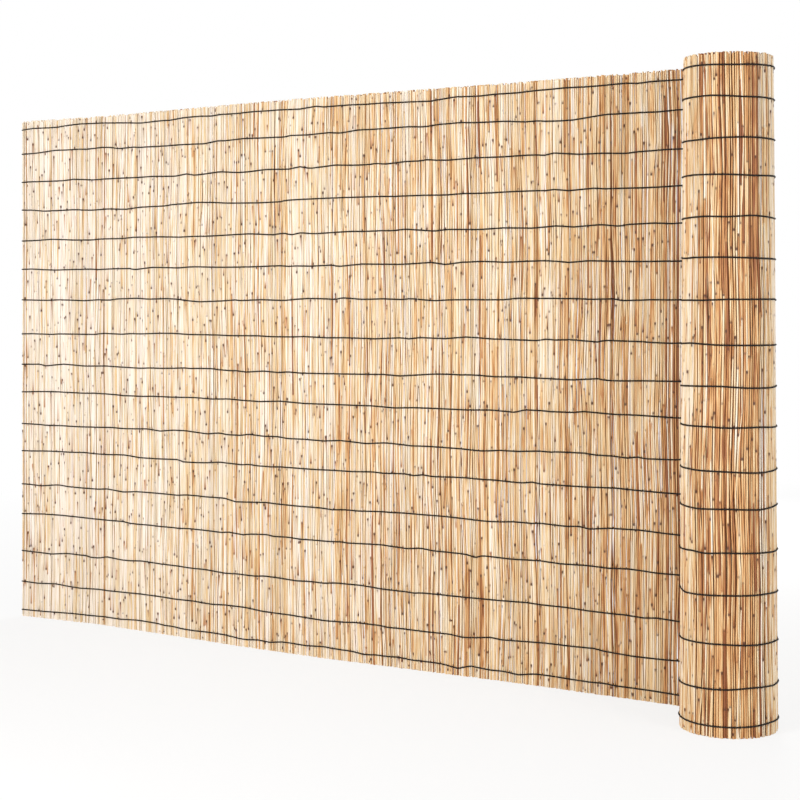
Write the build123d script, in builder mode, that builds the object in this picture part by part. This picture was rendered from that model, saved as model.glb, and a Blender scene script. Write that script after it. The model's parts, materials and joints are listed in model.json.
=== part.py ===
from build123d import *
import os
from math import asin, atan, atan2, cos, degrees, exp, hypot, pi, radians, sin, sqrt

# A reed screening roll, partly unrolled and standing on its reed ends. Reeds stand side by side and
# are held by rows of paired wire. Lengths are in millimetres. The origin is on the roll's axis at
# the floor, and the open screen runs off along -X behind the roll.

# The screen as it is sold, and how much of it is open
screen_height = 2000.0
open_length = 3050.0

# One reed: a hexagon that tapers from its butt to its tip, laid butt up and butt down in turn
butt_diameter = 11.0
tip_diameter = 9.0
reed_clearance = 0.7
ragged_head = 8.0
ragged_foot = 3.0

# The binding wire: two strands in each row, one on each face of the reeds
strand = 2.0
strand_clearance = 0.25
wire_overhang = 6.0
edge_margin = 36.0
row_gaps = [105, 128, 146, 121, 134, 107, 130, 110, 126, 133, 122, 118, 120, 113, 120, 94]

# The roll: its visible turn, which is a little wider at the foot, and the turns inside it, which
# are drawn in a little at half their height
roll_diameter_foot = 293.0
roll_diameter_head = 267.0
bore_diameter = 164.0
inner_turns = 3
turn_groove_width = 2.5
turn_groove_depth = 14.0
core_clearance = 0.3
core_waist = 0.2

# Where the screen leaves the roll it climbs over the turn below, laps it and runs off straight
leave_angle = 90.0
lap_angle = 20.0
climb_angle = 38.0

# The open screen stands in a slow wave, which is livelier towards its free end
wave_length = 1900.0
wave_calm = 9.0
wave_lively = 34.0
wave_decay = 800.0
wave_start = 500.0

# The counts: reeds on each flat of the visible turn, flats and bays of the open screen, and the
# lengths that the reeds come in
reeds_per_turn_side = 4
open_sides = 8
bays = 3
reed_kinds = 5

# Worked out from the sizes above
flats = sqrt(3) / 2
reed_thickness = butt_diameter * flats
reed_pitch = (butt_diameter + tip_diameter) / 2 + reed_clearance
strand_offset = reed_thickness / 2 + strand_clearance + strand / 2
side_length = reeds_per_turn_side * reed_pitch
side_rise = side_length**2 / 8 / (roll_diameter_head / 2 - 2 * reed_thickness)
turn_pitch = 2 * strand_offset + strand + strand_clearance + side_rise
core_height = screen_height - ragged_head / 2
lean = (roll_diameter_foot - roll_diameter_head) / 2 / screen_height


def roll_radius(z):
    """Outer radius of the visible turn, over the reeds, at height z."""
    share = z / screen_height
    return (roll_diameter_foot * (1 - share) + roll_diameter_head * share) / 2


def smooth(share):
    """Eases from 0 to 1 with no kink at either end."""
    share = min(max(share, 0), 1)
    return share * share * (3 - 2 * share)


def climb(angle):
    """How far the mat has climbed off the turn below it, at this angle round the roll."""
    back = leave_angle - angle
    return turn_pitch * (1 - smooth((back - lap_angle) / climb_angle))


def turn_angles():
    """Corners of the visible turn, from where the screen leaves back to the turn's inner end.

    The inner end lies under the lap, where the mat over it has climbed the whole way.
    """
    angles = [leave_angle]
    while angles[-1] > leave_angle - 360 - lap_angle:
        radius = roll_radius(screen_height) - reed_thickness / 2 + climb(angles[-1])
        angles.append(angles[-1] - 2 * degrees(asin(side_length / 2 / radius)))
    return angles[:-1]


def open_stations():
    """Distances from the roll at which the open screen's plan turns a little, and reeds per side."""
    reeds = int(open_length / reed_pitch)
    ends = [round(reeds * side / open_sides) for side in range(open_sides + 1)]
    return [open_length * end / reeds for end in ends], [b - a for a, b in zip(ends, ends[1:])]


def turn_point(angle, z):
    """Centre of the mat at this angle round the roll and height z."""
    radius = roll_radius(z) - reed_thickness / 2 + climb(angle)
    return radius * cos(radians(angle)), radius * sin(radians(angle))


def open_point(distance, z):
    """Centre of the mat on the open screen, this far from the roll and at height z."""
    to_end = open_length - distance
    swing = wave_calm + wave_lively * exp(-to_end / wave_decay)
    wave = swing * sin(2 * pi * to_end / wave_length) * smooth(distance / wave_start)
    foot_to_head = turn_point(leave_angle, z)[1]
    middle = turn_point(leave_angle, screen_height / 2)[1]
    cone = (foot_to_head - middle) * (1 - distance / open_length)
    return -distance, middle + cone + wave


def mat_plan(z):
    """The mat's plan at height z as corner points, from its inner end on the roll to its free end."""
    turn = [turn_point(angle, z) for angle in reversed(turn_angles())]
    return turn + [open_point(distance, z) for distance in open_stations()[0][1:]]


def offset_plan(points, distance):
    """The plan's corners moved sideways, to the left of its run where distance is positive."""
    moved = []
    for i, (x, y) in enumerate(points):
        before, after = points[max(i - 1, 0)], points[min(i + 1, len(points) - 1)]
        into = atan2(y - before[1], x - before[0]) if i else atan2(after[1] - y, after[0] - x)
        out = atan2(after[1] - y, after[0] - x) if i < len(points) - 1 else into
        half_turn = ((out - into + pi) % (2 * pi) - pi) / 2
        reach = distance / cos(half_turn)
        moved.append((x - reach * sin(into + half_turn), y + reach * cos(into + half_turn)))
    return moved


def reed_length(kind):
    """Lengths differ a little, so the ends of the reeds are ragged."""
    return screen_height - (ragged_head + ragged_foot) * kind / (reed_kinds - 1) - butt_diameter * lean


def reed(length):
    """One stalk of this length, standing on its butt."""
    with BuildPart() as stalk:
        with BuildSketch():
            RegularPolygon(radius=butt_diameter / 2, side_count=6)
        extrude(amount=length, taper=degrees(atan((butt_diameter - tip_diameter) / 2 * flats / length)))
    return stalk.part.solid()


def placed_reed(foot, head, share, number):
    """A stalk at this share of the way along a side of the plan, given at the foot and head."""
    low = [a * (1 - share) + b * share for a, b in zip(*foot)]
    high = [a * (1 - share) + b * share for a, b in zip(*head)]
    run = (foot[1][0] - foot[0][0], foot[1][1] - foot[0][1], 0)
    up = Vector(high[0] - low[0], high[1] - low[1], screen_height).normalized()
    kind = number * 3 % reed_kinds
    lift = ragged_foot * kind / (reed_kinds - 1) + butt_diameter / 2 * lean
    base = Vector(*low, 0) + up * lift
    if number % 2 == 0:
        return reeds[kind].moved(Location(Plane(base, x_dir=run, z_dir=up)))
    top = base + up * reed_length(kind)
    return reeds[kind].moved(Location(Plane(top, x_dir=run, z_dir=-up)))


os.makedirs("parts", exist_ok=True)
plan_foot = mat_plan(0)
plan_head = mat_plan(screen_height)
turn_sides = len(turn_angles()) - 1
counts = [reeds_per_turn_side] * turn_sides + open_stations()[1]

# Reeds, side by side along the plan
reeds = [reed(reed_length(kind)) for kind in range(reed_kinds)]
reeds_on_side = []
number = 0
for side, count in enumerate(counts):
    foot, head = plan_foot[side : side + 2], plan_head[side : side + 2]
    row = []
    for place in range(count):
        row.append(placed_reed(foot, head, (place + 0.5) / count, number))
        number += 1
    reeds_on_side.append(row)

# The visible turn's reeds
with BuildPart() as turn_reeds:
    add([stalk for row in reeds_on_side[:turn_sides] for stalk in row])
turn_reeds.part.label = "roll_turn_reeds"
export_step(turn_reeds.part, "parts/roll_turn_reeds.step")

# The open screen's reeds, in bays of whole sides counted from the roll
for bay in range(bays):
    first = turn_sides + open_sides * bay // bays
    last = turn_sides + open_sides * (bay + 1) // bays
    with BuildPart() as screen_reeds:
        add([stalk for row in reeds_on_side[first:last] for stalk in row])
    screen_reeds.part.label = f"screen_reeds_{bay + 1}"
    export_step(screen_reeds.part, f"parts/screen_reeds_{bay + 1}.step")

# Binding wires, numbered from the floor. Each has one strand outside, round the roll and along the
# back of the screen, and one along the front of the screen, up to where it goes into the roll
wire_height = edge_margin
for row, gap in enumerate([0] + row_gaps):
    wire_height += gap * (screen_height - 2 * edge_margin) / sum(row_gaps)
    plan = mat_plan(wire_height)
    x_end, y_end = plan[-1]
    run = hypot(x_end - plan[-2][0], y_end - plan[-2][1])
    plan[-1] = tuple(b + (b - a) * wire_overhang / run for a, b in zip(plan[-2], plan[-1]))
    with BuildPart() as wire:
        for stretch, offset in ((plan, -strand_offset), (plan[turn_sides:], strand_offset)):
            near = offset_plan(stretch, offset - strand / 2)
            far = offset_plan(stretch, offset + strand / 2)
            with BuildSketch(Plane.XY.offset(wire_height - strand / 2)):
                with BuildLine():
                    Polyline(*near, *reversed(far), close=True)
                make_face()
            extrude(amount=strand)
    wire.part.label = f"wire_{row + 1:02d}"
    export_step(wire.part, f"parts/wire_{row + 1:02d}.step")

# The turns inside, as one turned solid with its bore
corner = cos(asin(side_length / 2 / (roll_diameter_head / 2 - reed_thickness)))


def core_radius(z):
    """Outer radius of the inner turns, just clear of the visible turn's reeds."""
    return (roll_radius(z) - reed_thickness / 2) * corner - reed_thickness / 2 - core_clearance


def turn_groove(z_face, outer):
    """The spiral groove between the turns on one end, as half circles about two centres."""
    pitch = (outer - bore_diameter / 2) / inner_turns
    with BuildSketch(Plane.XY.offset(z_face)) as groove:
        for half in range(1, 2 * inner_turns - 1):
            radius = bore_diameter / 2 + pitch * (half + 0.5) / 2
            centre = pitch / 4 * (-1 if half % 2 else 1)
            start = 0 if half % 2 else 180
            with BuildLine():
                inside = CenterArc((centre, 0), radius - turn_groove_width / 2, start, 180)
                outside = CenterArc((centre, 0), radius + turn_groove_width / 2, start, 180)
                Line(inside @ 0, outside @ 0)
                Line(inside @ 1, outside @ 1)
            make_face()
    return groove.sketch


foot_groove = turn_groove(0, core_radius(0))
head_groove = turn_groove(core_height, core_radius(core_height))
with BuildPart() as core:
    with BuildSketch(Plane.XZ):
        with BuildLine():
            waist = (core_radius(core_height / 2) - core_waist, core_height / 2)
            wall = ThreePointArc((core_radius(0), 0), waist, (core_radius(core_height), core_height))
            Polyline(wall @ 1, (bore_diameter / 2, core_height), (bore_diameter / 2, 0), wall @ 0)
        make_face()
    revolve(axis=Axis.Z)
    extrude(foot_groove, amount=turn_groove_depth, mode=Mode.SUBTRACT)
    extrude(head_groove, amount=-turn_groove_depth, mode=Mode.SUBTRACT)
core.part.label = "inner_turns"
export_step(core.part, "parts/inner_turns.step")
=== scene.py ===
import bmesh
import bpy
import json
import math
import numpy as np
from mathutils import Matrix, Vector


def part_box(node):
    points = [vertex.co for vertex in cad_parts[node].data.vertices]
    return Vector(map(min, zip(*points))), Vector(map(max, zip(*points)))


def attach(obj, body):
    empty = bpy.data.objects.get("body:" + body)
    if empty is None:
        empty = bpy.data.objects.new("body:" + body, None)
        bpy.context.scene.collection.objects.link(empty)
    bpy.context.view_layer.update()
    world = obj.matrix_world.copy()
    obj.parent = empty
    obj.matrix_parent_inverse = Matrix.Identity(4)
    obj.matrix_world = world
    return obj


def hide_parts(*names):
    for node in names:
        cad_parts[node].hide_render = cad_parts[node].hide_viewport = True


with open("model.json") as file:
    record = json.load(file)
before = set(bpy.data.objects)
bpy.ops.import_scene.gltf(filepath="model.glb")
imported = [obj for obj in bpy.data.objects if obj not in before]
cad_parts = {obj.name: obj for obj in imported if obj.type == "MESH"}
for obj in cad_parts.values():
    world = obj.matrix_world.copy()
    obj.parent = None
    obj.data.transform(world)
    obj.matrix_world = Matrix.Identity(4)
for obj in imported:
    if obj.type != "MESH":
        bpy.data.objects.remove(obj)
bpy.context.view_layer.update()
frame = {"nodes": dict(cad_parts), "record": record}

# Camera: a level view at chest height with a longer lens, turned so that the open screen runs away
# to the left behind the standing roll. The shift lifts the horizon as the photograph has it.
view_turn = math.radians(32.0)
roll_to_right = 0.981
roll_away = 4.93
camera_height = 1.269
camera_data = bpy.data.cameras.new("camera")
camera_data.sensor_width = 36
camera_data.lens = 74.25
camera_data.shift_y = -0.1225
camera = bpy.data.objects.new("camera", camera_data)
camera.location = (
    roll_away * math.sin(view_turn) - roll_to_right * math.cos(view_turn),
    -roll_away * math.cos(view_turn) - roll_to_right * math.sin(view_turn),
    camera_height,
)
camera.rotation_euler = (math.radians(90), 0, view_turn)
bpy.context.scene.collection.objects.link(camera)
bpy.context.scene.camera = camera
bpy.context.scene.view_settings.view_transform = "Standard"

# Studio: a pale floor that takes the object's shadow, a white surround, one large soft lamp in
# front on the left, a weaker one on the right and one behind.
surround_tint = (1, 0.985, 0.96)
surround_strength = 0.55
floor_half = 90.0
floor_grey = (0.86, 0.86, 0.86)
floor_white_near = 0.78
floor_white_from = 2.5
floor_white_all = 7.0


def empty_tree(owner):
    """The node tree of a world or a material, with no nodes in it."""
    owner.use_nodes = True
    owner.node_tree.nodes.clear()
    return owner.node_tree


def add_nodes(tree, kinds):
    """Adds shader nodes by name, from {name: type}, and gives them back by name."""
    made = {}
    for name, kind in kinds.items():
        made[name] = tree.nodes.new(kind)
        made[name].name = name
    return made


def join_nodes(tree, part, joins):
    """Joins nodes by name. Each join says node and output, then node and input."""
    for source, output, target, entry in joins:
        tree.links.new(part[source].outputs[output], part[target].inputs[entry])


def seen_rays(tree):
    """An output that is 1 for camera, glossy and transmission rays, and 0 for all others."""
    path = tree.nodes.new("ShaderNodeLightPath")
    seen = path.outputs["Is Camera Ray"]
    for ray in ("Is Glossy Ray", "Is Transmission Ray"):
        either = tree.nodes.new("ShaderNodeMath")
        either.operation = "MAXIMUM"
        tree.links.new(seen, either.inputs[0])
        tree.links.new(path.outputs[ray], either.inputs[1])
        seen = either.outputs[0]
    return seen


def set_range(node, taken, given):
    """Sets what a map range node takes in and gives out, both as (lowest, highest)."""
    for socket, value in zip(("From Min", "From Max", "To Min", "To Max"), (*taken, *given)):
        node.inputs[socket].default_value = value


def soft_lamp(name, place, aim, width, watts):
    """A square lamp of this width, pointed from one place at another."""
    data = bpy.data.lights.new(name, "AREA")
    data.size = width
    data.energy = watts
    lamp = bpy.data.objects.new(name, data)
    lamp.location = place
    way = np.array(aim) - np.array(place)
    lamp.rotation_euler = (
        math.atan2(math.hypot(way[0], way[1]), -way[2]),
        0,
        math.atan2(way[1], way[0]) - math.pi / 2,
    )
    bpy.context.scene.collection.objects.link(lamp)


world = bpy.data.worlds.new("white surround")
bpy.context.scene.world = world
surround = empty_tree(world)
sky = add_nodes(
    surround,
    {
        "lit": "ShaderNodeBackground",
        "seen": "ShaderNodeBackground",
        "mix": "ShaderNodeMixShader",
        "output": "ShaderNodeOutputWorld",
    },
)
sky["lit"].inputs["Color"].default_value = (*surround_tint, 1)
sky["lit"].inputs["Strength"].default_value = surround_strength
sky["seen"].inputs["Color"].default_value = (1, 1, 1, 1)
sky["seen"].inputs["Strength"].default_value = 1
surround.links.new(seen_rays(surround), sky["mix"].inputs[0])
join_nodes(surround, sky, [("lit", 0, "mix", 1), ("seen", 0, "mix", 2), ("mix", 0, "output", 0)])

soft_lamp("key_lamp", place=(-1.8, -4.9, 1.5), aim=(-0.6, 0, 1), width=1.4, watts=222)
soft_lamp("fill_lamp", place=(4.6, -1.9, 1.5), aim=(-0.2, 0, 1), width=1.8, watts=128)
soft_lamp("back_lamp", place=(-2.4, 5.2, 2.2), aim=(-1.4, 0, 1), width=1.8, watts=180)

floor_mesh = bpy.data.meshes.new("floor")
corners = [(-1, -1), (1, -1), (1, 1), (-1, 1)]
floor_mesh.from_pydata([(x * floor_half, y * floor_half, 0) for x, y in corners], [], [(0, 1, 2, 3)])
floor = bpy.data.objects.new("floor", floor_mesh)
bpy.context.scene.collection.objects.link(floor)
pale_floor = bpy.data.materials.new("pale floor")
ground_tree = empty_tree(pale_floor)
ground = add_nodes(
    ground_tree,
    {
        "place": "ShaderNodeTexCoord",
        "distance": "ShaderNodeVectorMath",
        "whiter": "ShaderNodeMapRange",
        "share": "ShaderNodeMath",
        "matt": "ShaderNodeBsdfDiffuse",
        "white": "ShaderNodeEmission",
        "mix": "ShaderNodeMixShader",
        "output": "ShaderNodeOutputMaterial",
    },
)
ground["distance"].operation = "LENGTH"
ground["share"].operation = "MULTIPLY"
ground["matt"].inputs["Color"].default_value = (*floor_grey, 1)
set_range(ground["whiter"], (floor_white_from, floor_white_all), (floor_white_near, 1))
ground_tree.links.new(seen_rays(ground_tree), ground["share"].inputs[0])
join_nodes(
    ground_tree,
    ground,
    [
        ("place", "Object", "distance", 0),
        ("distance", "Value", "whiter", "Value"),
        ("whiter", 0, "share", 1),
        ("share", 0, "mix", 0),
        ("matt", 0, "mix", 1),
        ("white", 0, "mix", 2),
        ("mix", 0, "output", 0),
    ],
)
floor_mesh.materials.append(pale_floor)

# Turns inside the roll: the first reeds of the mat, wound up with an open middle. Only their cut
# ends and the bore's wall show. Reeds are dried grass stems, hollow, with a node every 28 cm or so,
# and lie butt up or butt down, so thick and thin ends mix.
bay_names = [name for name in frame["nodes"] if name.startswith("screen_reeds")]
screen_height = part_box("screen_reeds_1")[1][2]
same_corner = 1e-5
corner_reach = 2
just_inside = 1e-6


def frame_stalks(name):
    """Foot and head of each stalk in this node of the frame, in no order."""
    mesh = bmesh.new()
    mesh.from_mesh(frame["nodes"][name].data)
    bmesh.ops.remove_doubles(mesh, verts=mesh.verts, dist=same_corner)
    ends = []
    for start in mesh.verts:
        if start.tag:
            continue
        start.tag = True
        stalk, waiting = [], [start]
        while waiting:
            vert = waiting.pop()
            stalk.append(list(vert.co))
            for edge in vert.link_edges:
                other = edge.other_vert(vert)
                if not other.tag:
                    other.tag = True
                    waiting.append(other)
        stalk = np.array(stalk)
        low = stalk[:, 2] < screen_height / 2
        ends.append((stalk[low].mean(axis=0), stalk[~low].mean(axis=0)))
    mesh.free()
    return ends


def mat_line():
    """Foot and head of each stalk in the order of the mat, from its inner end, and each one's node."""
    stalks = []
    for name in ["roll_turn_reeds"] + bay_names:
        stalks += [(foot, head, name) for foot, head in frame_stalks(name)]
    here = min(range(len(stalks)), key=lambda i: stalks[i][0][0])
    left = set(range(len(stalks))) - {here}
    order = [here]
    while left:
        foot = stalks[here][0]
        here = min(sorted(left), key=lambda i: math.dist(stalks[i][0][:2], foot[:2]))
        left.remove(here)
        order.append(here)
    order.reverse()
    feet = np.array([stalks[i][0] for i in order])
    heads = np.array([stalks[i][1] for i in order])
    return feet, heads, [stalks[i][2] for i in order]


def evened(points):
    """The line with its small corners rounded off: each point is the mean of itself and those near."""
    before = 2 * points[0] - points[corner_reach:0:-1]
    beyond = 2 * points[-1] - points[-2 : -2 - corner_reach : -1]
    padded = np.vstack([before, points, beyond])
    window = 2 * corner_reach + 1
    return sum(padded[i : i + len(points)] for i in range(window)) / window


feet, heads, stalk_nodes = mat_line()
feet[:, 2] = 0
heads[:, 2] = screen_height
feet, heads = evened(feet), evened(heads)
last_place = len(feet) - 1
turn_places = stalk_nodes.count("roll_turn_reeds")
stalk_pitch = float(np.linalg.norm(feet[-1] - feet[-2]))


def mat_point(place, height, across):
    """Points of the mat, with their run and outward ways.

    Place counts stalks of the frame along the mat, and across is the offset to its outside.
    """
    place, height, across = np.broadcast_arrays(place, height, across)
    inside = np.clip(place, 0, last_place - just_inside)
    index = inside.astype(int)
    part = (inside - index)[..., None]
    up = (height / screen_height)[..., None]
    low = feet[index] * (1 - part) + feet[index + 1] * part
    high = heads[index] * (1 - part) + heads[index + 1] * part
    along = feet[index + 1] - feet[index]
    along = along / np.linalg.norm(along, axis=-1, keepdims=True)
    beyond = ((place - inside) * stalk_pitch)[..., None]
    outward = np.stack([along[..., 1], -along[..., 0], 0 * along[..., 0]], axis=-1)
    point = low * (1 - up) + high * up + along * beyond + outward * across[..., None]
    return point, along, outward


def bore_point(angle, height, radius):
    """Points of the turns inside the roll, about its axis, with their run and outward ways."""
    angle, height, radius = np.broadcast_arrays(angle, height, radius)
    outward = np.stack([np.cos(angle), np.sin(angle), 0 * angle], axis=-1)
    along = np.stack([-np.sin(angle), np.cos(angle), 0 * angle], axis=-1)
    point = outward * radius[..., None]
    point[..., 2] = height
    return point, along, outward


# A stem's shape: rings, cut ends and nodes. Lengths are in metres, and the rest are counts and
# shares, but for node_crowding, a power that draws the nodes together towards one end
stem_sides = 7
plain_rings = (0.33, 0.67)
least_step = 1e-4
cut_rings = 3
cut_edge = 0.62
hollow_width = 0.5
hollow_depth = 0.012
rings_per_node = 4
node_rise = 0.0075
node_swell = (0.1, 0.34)
first_node = (0.02, 0.98)
node_crowding = (0.8, 1.25)
node_wander = 0.008

# A stem's marks and changes of tone, from 0 to 1. The first and the stain are mean and spread, and
# the stain's reach is in metres
node_darkness = (0.66, 0.32)
least_darkness = 0.1
dark_beside_node = 0.45
sheath_stain = (0.18, 0.5)
stain_reach = (0.015, 0.1)
# Painted shade in a cut end's hollow, as a share at its rim and inner edge; its floor has it in full
painted_shade_at_rim = 0.4
# Painted light: the stems are a little paler towards the top and browner towards the foot
painted_light_upwards = 0.02
# Painted shade: each stem is browner on its side towards the middle of the mat, where the two layers
# shade each other, and half as much at its edges
painted_shade_inwards = 0.4
between_nodes = 0.13


def node_rings(foot, head, knots, rng):
    """Four rings at each node: their heights, and how swollen, dark and stained the stem is there."""
    share = (np.arange(knots) + rng.uniform(*first_node, (len(foot), 1))) / knots
    share = share ** rng.uniform(*node_crowding, (len(foot), 1))
    share += rng.normal(0, node_wander, share.shape)
    knot = foot[:, None] + (head - foot)[:, None] * share
    above = (rng.random(knot.shape) < 0.5)[..., None]
    rise = np.full(knot.shape, node_rise)
    offset = np.stack([-rise, 0 * rise, rise, rise + rng.uniform(*stain_reach, knot.shape)], axis=-1)
    height = (knot[..., None] + np.where(above, offset, -offset[..., ::-1])).reshape(len(foot), -1)
    height = np.clip(height, foot[:, None] + node_rise, head[:, None] - node_rise)
    height = np.maximum.accumulate(height + least_step * np.arange(rings_per_node * knots), axis=1)
    at_node = np.where(above, [0, 1, 0, 0], [0, 0, 1, 0])
    near_node = np.where(above, [0, 1, dark_beside_node, 0], [0, dark_beside_node, 1, 0])
    dark = np.clip(rng.normal(*node_darkness, knot.shape), least_darkness, 1)
    stain = np.clip(rng.normal(*sheath_stain, knot.shape), 0, 1)
    swell = rng.uniform(*node_swell, knot.shape)
    by_ring = ((at_node, swell), (near_node, dark), (np.array([0, 1, 1, 0]), stain))
    return [height] + [(where * much[..., None]).reshape(height.shape) for where, much in by_ring]


def cut_end(centre, ring, radius, inwards):
    """Rim, inner edge and hollow of a cut end, for all the stems."""
    rim = centre + ring * radius
    inner_edge = centre + ring * radius * cut_edge
    return [rim, inner_edge, centre + ring * radius * hollow_width + np.array([0, 0, inwards])]


def stems(name, place_of, foot, head, butt, tip, upside, facing, tone, knots, seed):
    """One mesh of many hollow stems. place_of(height) gives centres, run and outward ways by ring.

    Facing is 1 if a stem's paler side faces outwards, -1 if inwards; its other side has painted shade.
    """
    count = len(foot)
    rng = np.random.default_rng(seed)
    if knots:
        inner, swell, dark, stain = node_rings(foot, head, knots, rng)
    else:
        inner = foot[:, None] + (head - foot)[:, None] * np.array(plain_rings)
        swell = dark = stain = np.zeros_like(inner)
    height = np.hstack([foot[:, None], inner, head[:, None]])
    share = (height - foot[:, None]) / (head - foot)[:, None]
    share = np.where(upside[:, None], 1 - share, share)
    one_each_end = ((0, 0), (1, 1))
    radius = butt[:, None] * (1 - share) + tip[:, None] * share
    radius = (radius * (1 + np.pad(swell, one_each_end)))[:, :, None, None]
    centre, along, outward = place_of(height)
    centre = centre[:, :, None]
    angle = 2 * np.pi * np.arange(stem_sides) / stem_sides + rng.uniform(0, 1, (count, 1, 1))
    ring = -along[:, :, None] * np.cos(angle)[..., None] + outward[:, :, None] * np.sin(angle)[..., None]
    foot_end = cut_end(centre[:, :1], ring[:, :1], radius[:, :1], hollow_depth)
    head_end = cut_end(centre[:, -1:], ring[:, -1:], radius[:, -1:], -hollow_depth)
    verts = np.concatenate(foot_end[::-1] + [centre + ring * radius] + head_end, axis=1)
    rows = verts.shape[1]
    index = np.arange(count * rows * stem_sides).reshape(count, rows, stem_sides)
    turned = np.roll(index, -1, axis=2)
    sharp_edges = (cut_rings - 1, rows - cut_rings - 1)
    joined = [row for row in range(rows - 1) if row not in sharp_edges]
    above = [row + 1 for row in joined]
    walls = np.stack([index[:, joined], turned[:, joined], turned[:, above], index[:, above]], axis=-1)
    faces = walls.reshape(-1, 4).tolist() + index[:, 0, ::-1].tolist() + index[:, -1].tolist()
    mesh = bpy.data.meshes.new(name)
    mesh.from_pydata(verts.reshape(-1, 3).tolist(), [], faces)
    mesh.polygons.foreach_set("use_smooth", [True] * len(mesh.polygons))
    # Painted shade in the hollow of each cut end: full at its floor, less at its inner edge and rim
    hollow = np.zeros((count, rows))
    hollow[:, [0, -1]] = 1
    hollow[:, [1, 2, -2, -3]] = painted_shade_at_rim
    half_node = rings_per_node // 2
    stretch = rng.normal(0, between_nodes, (count, knots + 1)).repeat(rings_per_node, axis=1)
    # Painted light: a little paler towards the top
    tones = tone[:, None] + painted_light_upwards * (0.5 - height / screen_height)
    tones += np.pad(stretch[:, half_node:-half_node], one_each_end, "edge") if knots else 0
    tones = np.pad(tones, ((0, 0), (cut_rings, cut_rings)), "edge")[:, :, None]
    # Painted shade on the side of each stem that faces the middle of the mat
    tones = tones + painted_shade_inwards * (0.5 - 0.5 * facing[:, None, None] * np.sin(angle))
    ends = ((0, 0), (cut_rings + 1, cut_rings + 1))
    masks = [np.pad(dark, ends), np.pad(stain, ends), hollow]
    colour = np.stack([tones] + [mask[:, :, None].repeat(stem_sides, axis=2) for mask in masks], axis=-1)
    layer = mesh.color_attributes.new("reed", "FLOAT_COLOR", "POINT")
    layer.data.foreach_set("color", colour.astype(np.float32).ravel())
    piece = bpy.data.objects.new(name, mesh)
    bpy.context.scene.collection.objects.link(piece)
    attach(piece, "root")
    return piece


def streak_group():
    """Fine lengthwise fibre, slow drift of colour along a stem and small specks, as masks."""
    group = bpy.data.node_groups.new("reed fibre", "ShaderNodeTree")
    fineness = group.interface.new_socket("Fineness", in_out="INPUT", socket_type="NodeSocketFloat")
    fineness.default_value = 1
    for mask in ("Fibre", "Drift", "Speck"):
        group.interface.new_socket(mask, in_out="OUTPUT", socket_type="NodeSocketFloat")
    part = add_nodes(
        group,
        {
            "input": "NodeGroupInput",
            "place": "ShaderNodeTexCoord",
            "fine": "ShaderNodeVectorMath",
            "stretch": "ShaderNodeMapping",
            "fibre": "ShaderNodeTexNoise",
            "slow": "ShaderNodeMapping",
            "drift": "ShaderNodeTexNoise",
            "speck": "ShaderNodeTexNoise",
            "output": "NodeGroupOutput",
        },
    )
    part["fine"].operation = "SCALE"
    part["stretch"].inputs["Scale"].default_value = (900, 900, 14)
    part["slow"].inputs["Scale"].default_value = (120, 120, 6.5)
    part["fibre"].inputs["Scale"].default_value = part["drift"].inputs["Scale"].default_value = 1
    part["speck"].inputs["Scale"].default_value = 260
    part["speck"].inputs["Detail"].default_value = 3
    join_nodes(
        group,
        part,
        [
            ("place", "Object", "fine", 0),
            ("input", "Fineness", "fine", "Scale"),
            ("fine", 0, "stretch", "Vector"),
            ("fine", 0, "slow", "Vector"),
            ("stretch", 0, "fibre", "Vector"),
            ("slow", 0, "drift", "Vector"),
            ("fine", 0, "speck", "Vector"),
            ("fibre", 0, "output", "Fibre"),
            ("drift", 0, "output", "Drift"),
            ("speck", 0, "output", "Speck"),
        ],
    )
    return group


reed_fibre = streak_group()

# Dry reed by its tone, from pale over straw and gold to brown, and what lies over it in turn:
# remains of the sheath, specks, the nodes and the painted shade in a hollow
reed_tones = (
    (0, (0.79, 0.7, 0.62)),
    (0.3, (0.69, 0.595, 0.46)),
    (0.55, (0.66, 0.48, 0.26)),
    (0.8, (0.5, 0.24, 0.08)),
    (1, (0.22, 0.07, 0.02)),
)
reed_layers = (
    ("sheath", (0.4, 0.16, 0.05)),
    ("speck", (0.3, 0.18, 0.1)),
    ("node", (0.075, 0.022, 0.008)),
    # The cut layer is painted shade in the hollow of a cut end
    ("cut", (0.13, 0.07, 0.03)),
)
sheath_strength = 0.85
mid_noise = (0.3, 0.7)
tone_drift = 0.2
tone_streak = 0.15


def fill_ramp(ramp, tones):
    """Gives a ramp its colours, each with its place, the first and last at the ramp's two ends."""
    for element, (place, colour) in zip(ramp.elements, (tones[0], tones[-1])):
        element.position = place
        element.color = (*colour, 1)
    for place, colour in tones[1:-1]:
        ramp.elements.new(place).color = (*colour, 1)


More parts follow.
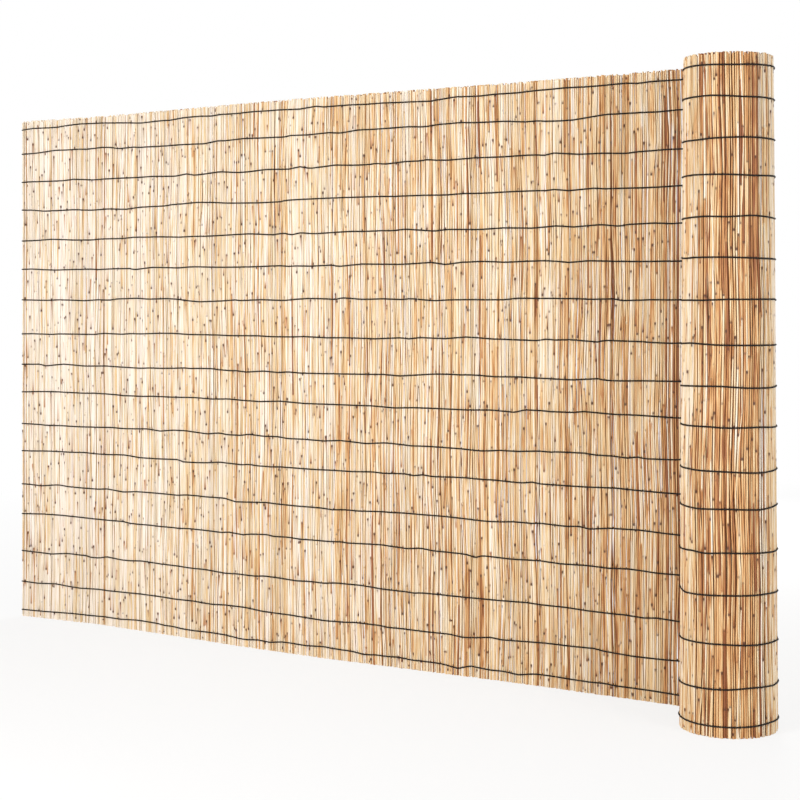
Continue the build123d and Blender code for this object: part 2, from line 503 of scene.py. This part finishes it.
def reed_material(name, tone_shift):
    """Dry reed: pale to brown by the stem, partly painted light and shade, brown sheath remains and dark
    nodes.
    """
    material = bpy.data.materials.new(name)
    tree = empty_tree(material)
    part = add_nodes(
        tree,
        {
            "stem": "ShaderNodeAttribute",
            "split": "ShaderNodeSeparateColor",
            "fibre": "ShaderNodeGroup",
            "drift": "ShaderNodeMapRange",
            "streak": "ShaderNodeMapRange",
            "toned": "ShaderNodeMath",
            "shade": "ShaderNodeMath",
            "ramp": "ShaderNodeValToRGB",
            "sheath_mask": "ShaderNodeMath",
            "sheath": "ShaderNodeMix",
            "speck_mask": "ShaderNodeMapRange",
            "speck": "ShaderNodeMix",
            "node_mask": "ShaderNodeMapRange",
            "node": "ShaderNodeMix",
            "cut_mask": "ShaderNodeMapRange",
            "cut": "ShaderNodeMix",
            "gloss": "ShaderNodeMapRange",
            "bump": "ShaderNodeBump",
            "reed": "ShaderNodeBsdfPrincipled",
            "output": "ShaderNodeOutputMaterial",
        },
    )
    part["stem"].attribute_name = "reed"
    part["fibre"].node_tree = reed_fibre
    part["toned"].operation = part["shade"].operation = "ADD"
    part["shade"].use_clamp = True
    part["sheath_mask"].operation = "MULTIPLY"
    part["sheath_mask"].inputs[1].default_value = sheath_strength
    fill_ramp(part["ramp"].color_ramp, reed_tones)
    set_range(part["drift"], mid_noise, (tone_shift - tone_drift, tone_shift + tone_drift))
    set_range(part["streak"], mid_noise, (tone_shift - tone_streak, tone_shift + tone_streak))
    set_range(part["speck_mask"], (0.66, 0.74), (0, 0.35))
    set_range(part["node_mask"], (0.25, 0.75), (0, 0.95))
    # The cut layer: painted shade in the hollow of a cut end
    set_range(part["cut_mask"], (0.45, 0.9), (0, 1))
    set_range(part["gloss"], (0, 1), (0.4, 0.64))
    part["reed"].inputs["Specular IOR Level"].default_value = 0.35
    part["bump"].inputs["Strength"].default_value = 0.35
    part["bump"].inputs["Distance"].default_value = 0.0004
    under = part["ramp"].outputs["Color"]
    for layer, colour in reed_layers:
        part[layer].data_type = "RGBA"
        part[layer].inputs["B"].default_value = (*colour, 1)
        tree.links.new(part[layer + "_mask"].outputs[0], part[layer].inputs["Factor"])
        tree.links.new(under, part[layer].inputs["A"])
        under = part[layer].outputs["Result"]
    tree.links.new(under, part["reed"].inputs["Base Color"])
    join_nodes(
        tree,
        part,
        [
            ("stem", "Color", "split", 0),
            ("fibre", "Drift", "drift", "Value"),
            ("fibre", "Fibre", "streak", "Value"),
            ("drift", 0, "toned", 0),
            ("streak", 0, "toned", 1),
            ("toned", 0, "shade", 0),
            ("split", "Red", "shade", 1),
            ("shade", 0, "ramp", 0),
            ("split", "Blue", "sheath_mask", 0),
            ("fibre", "Speck", "speck_mask", "Value"),
            ("split", "Green", "node_mask", "Value"),
            ("stem", "Alpha", "cut_mask", "Value"),
            ("fibre", "Fibre", "gloss", "Value"),
            ("gloss", 0, "reed", "Roughness"),
            ("fibre", "Fibre", "bump", "Height"),
            ("bump", 0, "reed", "Normal"),
            ("reed", 0, "output", 0),
        ],
    )
    return material


rolled_reed = reed_material("rolled reed", tone_shift=0.03)
bore_radius = frame["record"]["mounts"][0]["dims"]["r_mm"] / 1000
core_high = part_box("inner_turns")[1]
inner_turns = 3
wound_turns = inner_turns - 0.5
off_bore = 0.004
layer_gap = 0.0062
inner_spacing = 0.00598
inner_thickness = (0.0026, 0.0035)
inner_taper = 0.8
inner_drift = 0.0007
inner_foot_rag = 0.008
inner_head_rag = 0.014
inner_tone = (0.38, 0.16)
head_squeeze = 0.09


def wound_stems():
    """The inner turns: two layers of reeds to a turn, winding outwards as a spiral."""
    angle, radius = [], []
    rise = (core_high[0] - bore_radius) / inner_turns
    for layer in range(2):
        turned = 0.0
        while turned < 2 * np.pi * wound_turns:
            out = bore_radius + off_bore + layer * layer_gap + rise * turned / (2 * np.pi)
            angle.append(turned + np.pi)
            radius.append(out)
            turned += inner_spacing / out
    angle, radius = np.array(angle), np.array(radius)
    count = len(angle)
    rng = np.random.default_rng(17)
    drift = rng.normal(0, inner_drift, (count, 1))

    def place_of(height):
        squeeze = 1 - head_squeeze * height / screen_height
        return bore_point(angle[:, None], height, (radius[:, None] + drift) * squeeze)

    thick = rng.uniform(*inner_thickness, count)
    return stems(
        "inner_turn_reeds",
        place_of,
        foot=rng.uniform(0, inner_foot_rag, count),
        head=core_high[2] - rng.uniform(0, inner_head_rag, count),
        butt=thick,
        tip=thick * inner_taper,
        upside=rng.random(count) < 0.5,
        facing=np.ones(count),
        tone=np.clip(rng.normal(*inner_tone, count), 0, 1),
        knots=0,
        seed=3,
    )


inner_reeds = wound_stems()
inner_reeds.data.materials.append(rolled_reed)
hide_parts("inner_turns")

# The visible turn: reeds at their full width, in two layers that the wires press flush on each face.
# They are brown where the mat leaves the roll and paler towards its free end, partly their own
# colour and partly painted light and shade. Some lie crooked over their neighbours, and a few are
# dark and thin.
mat_face = 0.0054
spacing = 0.0033
place_scatter = 0.04
butt_radius = (0.0033, 0.0007)
butt_limits = (0.0023, 0.0048)
tip_share = (0.64, 0.9)
sunk_spread = 0.0006
nodes_per_stem = 7
dark_share = 0.07
darker = 0.3
thinner = 0.68
paler_spreads = 2
browner_spreads = 3
end_calm = 0.06
least_calm = 0.1

# How far ends stand short of the mat's edges, and powers that keep most of them near the edge
head_rag = 0.008
foot_rag = 0.003
head_crowding = 1.5
foot_crowding = 2

# Crooked reeds, and how far they and the straight ones sway and slant along the mat
crooked_share = 0.17
crooked_proud = 0.0003
crooked_sway = (0.002, 0.007)
straight_sway = (0.0002, 0.0008)
crooked_slant = 0.008
straight_slant = 0.0005
crooked_wave = (0.4, 1.1)
straight_wave = (0.7, 1.9)

# Waves in which neighbours lean together, as reach, rise up the height and drift along the mat
lean_waves = (
    (0.0026, 5.1, 2.3),
    (0.0024, 9.7, -6.1),
    (0.001, 17, 11),
    (0.0009, 12, 41),
    (0.0007, -15, 57),
)

# Distance from the roll along the open screen, negative on the roll, and the mean tone there. These
# tones are partly the reeds' own colour and partly painted light and shade: painted shade of the roll
# browns the screen beside it, the bands round the roll stand partly for its lit and shaded sides,
# and the free end is paler partly as painted light.
tones_and_painted_shade_by_run = (
    (-0.55, 0.35),
    (-0.42, 0.61),
    (-0.34, 0.61),
    (-0.27, 0.36),
    (0, 0.55),
    (0.8, 0.45),
    (2.1, 0.28),
    (3.05, 0.06),
)


def common_lean(run, height):
    """How far neighbouring reeds lean together, along the mat."""
    return sum(reach * np.sin(rise * height + drift * run) for reach, rise, drift in lean_waves)


def mean_tone_and_painted_shade(run):
    """Mean reed tone, partly painted light and shade, this far from the roll along the screen or back on
    it.
    """
    return np.interp(run, *zip(*tones_and_painted_shade_by_run))


def layered_stems(name, first, last, tone_spread, seed):
    """Reeds from one place of the mat to another, every second one in the layer behind."""
    rng = np.random.default_rng(seed)
    regular = round((last - first) * stalk_pitch / spacing)
    place = first + (np.arange(regular) + 0.5) * (last - first) / regular
    place = place + rng.normal(0, place_scatter, regular)
    crossing = round(regular * crooked_share)
    place = np.concatenate([place, rng.uniform(first, last, crossing)])
    count = len(place)
    side = np.where(np.arange(count) % 2 == 0, 1, -1)
    crooked = np.arange(count) >= regular
    dark = rng.random(count) < dark_share
    butt = np.clip(rng.normal(*butt_radius, count), *butt_limits)
    butt = np.where(dark | crooked, butt * thinner, butt)
    tip = butt * rng.uniform(*tip_share, count)
    sway = np.where(crooked, rng.uniform(*crooked_sway, count), rng.uniform(*straight_sway, count))
    slant = np.where(crooked, rng.normal(0, crooked_slant, count), rng.normal(0, straight_slant, count))
    calm = np.clip((last_place + 0.5 - place) * stalk_pitch / end_calm, least_calm, 1)
    wave = np.where(crooked, rng.uniform(*crooked_wave, count), rng.uniform(*straight_wave, count))
    start = rng.uniform(0, 2 * np.pi, (count, 1))
    sunk = np.where(crooked, -crooked_proud, np.abs(rng.normal(0, sunk_spread, count)))
    middle = screen_height / 2

    def place_of(height):
        shift = sway[:, None] * np.sin(2 * np.pi * height / wave[:, None] + start)
        shift += slant[:, None] * (height - middle) / middle
        shift += common_lean(place[:, None] * stalk_pitch, height)
        across = side[:, None] * (mat_face - sunk - (butt + tip) / 2)[:, None]
        return mat_point(place[:, None] + calm[:, None] * shift / stalk_pitch, height, across)

    limits = (-paler_spreads * tone_spread, browner_spreads * tone_spread)
    spread = np.clip(rng.normal(0, tone_spread, count), *limits)
    spread = np.where(dark, spread + darker, spread)
    return stems(
        name,
        place_of,
        foot=rng.uniform(0, 1, count) ** foot_crowding * foot_rag,
        head=screen_height - rng.uniform(0, 1, count) ** head_crowding * head_rag,
        butt=butt,
        tip=tip,
        upside=rng.random(count) < 0.5,
        facing=side,
        # Mean tone, with painted shade beside and on the roll and painted light towards the free end
        tone=np.clip(mean_tone_and_painted_shade((place - turn_places) * stalk_pitch) + spread, 0, 1),
        knots=nodes_per_stem,
        seed=seed + 1,
    )


roll_reeds = layered_stems("roll_turn_stems", -0.5, turn_places - 0.5, tone_spread=0.15, seed=5)
roll_reeds.data.materials.append(rolled_reed)
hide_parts("roll_turn_reeds")

# The open screen: the same mat of dry reeds, unrolled in three bays, which stand in a slow wave on
# their reed ends. Only the wires hold them, and they are paler than those on the roll, partly their
# own colour and partly painted light and shade.
open_reed = reed_material("open reed", tone_shift=0)
first = turn_places - 0.5
for bay, name in enumerate(bay_names):
    last = first + stalk_nodes.count(name)
    reeds = layered_stems(f"screen_stems_{bay + 1}", first, last, tone_spread=0.12, seed=20 + 3 * bay)
    reeds.data.materials.append(open_reed)
    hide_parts(name)
    first = last

# Binding wires: 17 rows of thin black wire, two strands to a row. The strands are twisted together
# between the reeds, so one lies on each face, and they wander a little from reed to reed.
wire_radius = 0.0027
wire_sides = 5
stands_off = 0.5
twist_every = 0.052
swap_run = 0.003
twist_shift = 0.0006
wire_kink = 0.0021
kink_every = (0.025, 0.11)
kinks_drawn = 200
wire_drift = 0.003
drifts_drawn = 14
wire_overhang = 0.006
wire_tones = ((0, (0.004, 0.003, 0.003)), (1, (0.02, 0.013, 0.009)))


def wire_mesh(name, height, seed):
    """Both strands of one row, along the visible turn and the open screen."""
    rng = np.random.default_rng(seed)
    run_end = (last_place + 0.5) * stalk_pitch + wire_overhang
    twists = round(run_end / twist_every)
    stretch = run_end / twists
    within = np.array([swap_run / 2, stretch / 3, stretch * 2 / 3, stretch - swap_run / 2])
    run = (np.arange(twists)[:, None] * stretch + within).ravel()
    faces_out = np.repeat(np.where(np.arange(twists) % 2, 1, -1), len(within))
    kinks = np.cumsum(rng.uniform(*kink_every, kinks_drawn))
    slow = np.linspace(0, run_end, drifts_drawn)
    level = height + np.interp(run, kinks, rng.normal(0, wire_kink, kinks_drawn))
    level += np.interp(run, slow, rng.normal(0, wire_drift, drifts_drawn))
    verts, faces = [], []
    for strand in (1, -1):
        side = strand * faces_out
        across = side * (mat_face + wire_radius * stands_off)
        centre, _, outward = mat_point(run / stalk_pitch - 0.5, level + twist_shift * side, across)
        angle = 2 * np.pi * np.arange(wire_sides) / wire_sides
        ring = outward[:, None] * np.cos(angle)[:, None] + np.array([0, 0, 1]) * np.sin(angle)[:, None]
        index = len(verts) + np.arange(len(run) * wire_sides).reshape(len(run), wire_sides)
        turned = np.roll(index, -1, axis=1)
        verts += (centre[:, None] + ring * wire_radius).reshape(-1, 3).tolist()
        walls = np.stack([index[:-1], index[1:], turned[1:], turned[:-1]], axis=-1)
        faces += walls.reshape(-1, 4).tolist() + [index[0].tolist(), index[-1, ::-1].tolist()]
    mesh = bpy.data.meshes.new(name)
    mesh.from_pydata(verts, [], faces)
    mesh.polygons.foreach_set("use_smooth", [True] * len(mesh.polygons))
    return mesh


def wire_material():
    """Thin black-coated steel wire, slightly worn and uneven in its gloss."""
    material = bpy.data.materials.new("black wire")
    tree = empty_tree(material)
    part = add_nodes(
        tree,
        {
            "place": "ShaderNodeTexCoord",
            "noise": "ShaderNodeTexNoise",
            "colour": "ShaderNodeValToRGB",
            "gloss": "ShaderNodeMapRange",
            "bump": "ShaderNodeBump",
            "wire": "ShaderNodeBsdfPrincipled",
            "output": "ShaderNodeOutputMaterial",
        },
    )
    part["noise"].inputs["Scale"].default_value = 240
    part["noise"].inputs["Detail"].default_value = 4
    fill_ramp(part["colour"].color_ramp, wire_tones)
    set_range(part["gloss"], (0, 1), (0.45, 0.7))
    part["wire"].inputs["Specular IOR Level"].default_value = 0.15
    part["bump"].inputs["Strength"].default_value = 0.3
    part["bump"].inputs["Distance"].default_value = 0.0002
    join_nodes(
        tree,
        part,
        [
            ("place", "Object", "noise", "Vector"),
            ("noise", 0, "colour", 0),
            ("noise", 0, "gloss", "Value"),
            ("noise", 0, "bump", "Height"),
            ("colour", "Color", "wire", "Base Color"),
            ("gloss", 0, "wire", "Roughness"),
            ("bump", 0, "wire", "Normal"),
            ("wire", 0, "output", 0),
        ],
    )
    return material


black_wire = wire_material()
for row, node in enumerate(sorted(name for name in frame["nodes"] if name.startswith("wire_"))):
    low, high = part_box(node)
    wire = bpy.data.objects.new("binding_" + node, wire_mesh(node, (low[2] + high[2]) / 2, 40 + row))
    bpy.context.scene.collection.objects.link(wire)
    wire.data.materials.append(black_wire)
    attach(wire, "root")
    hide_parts(node)
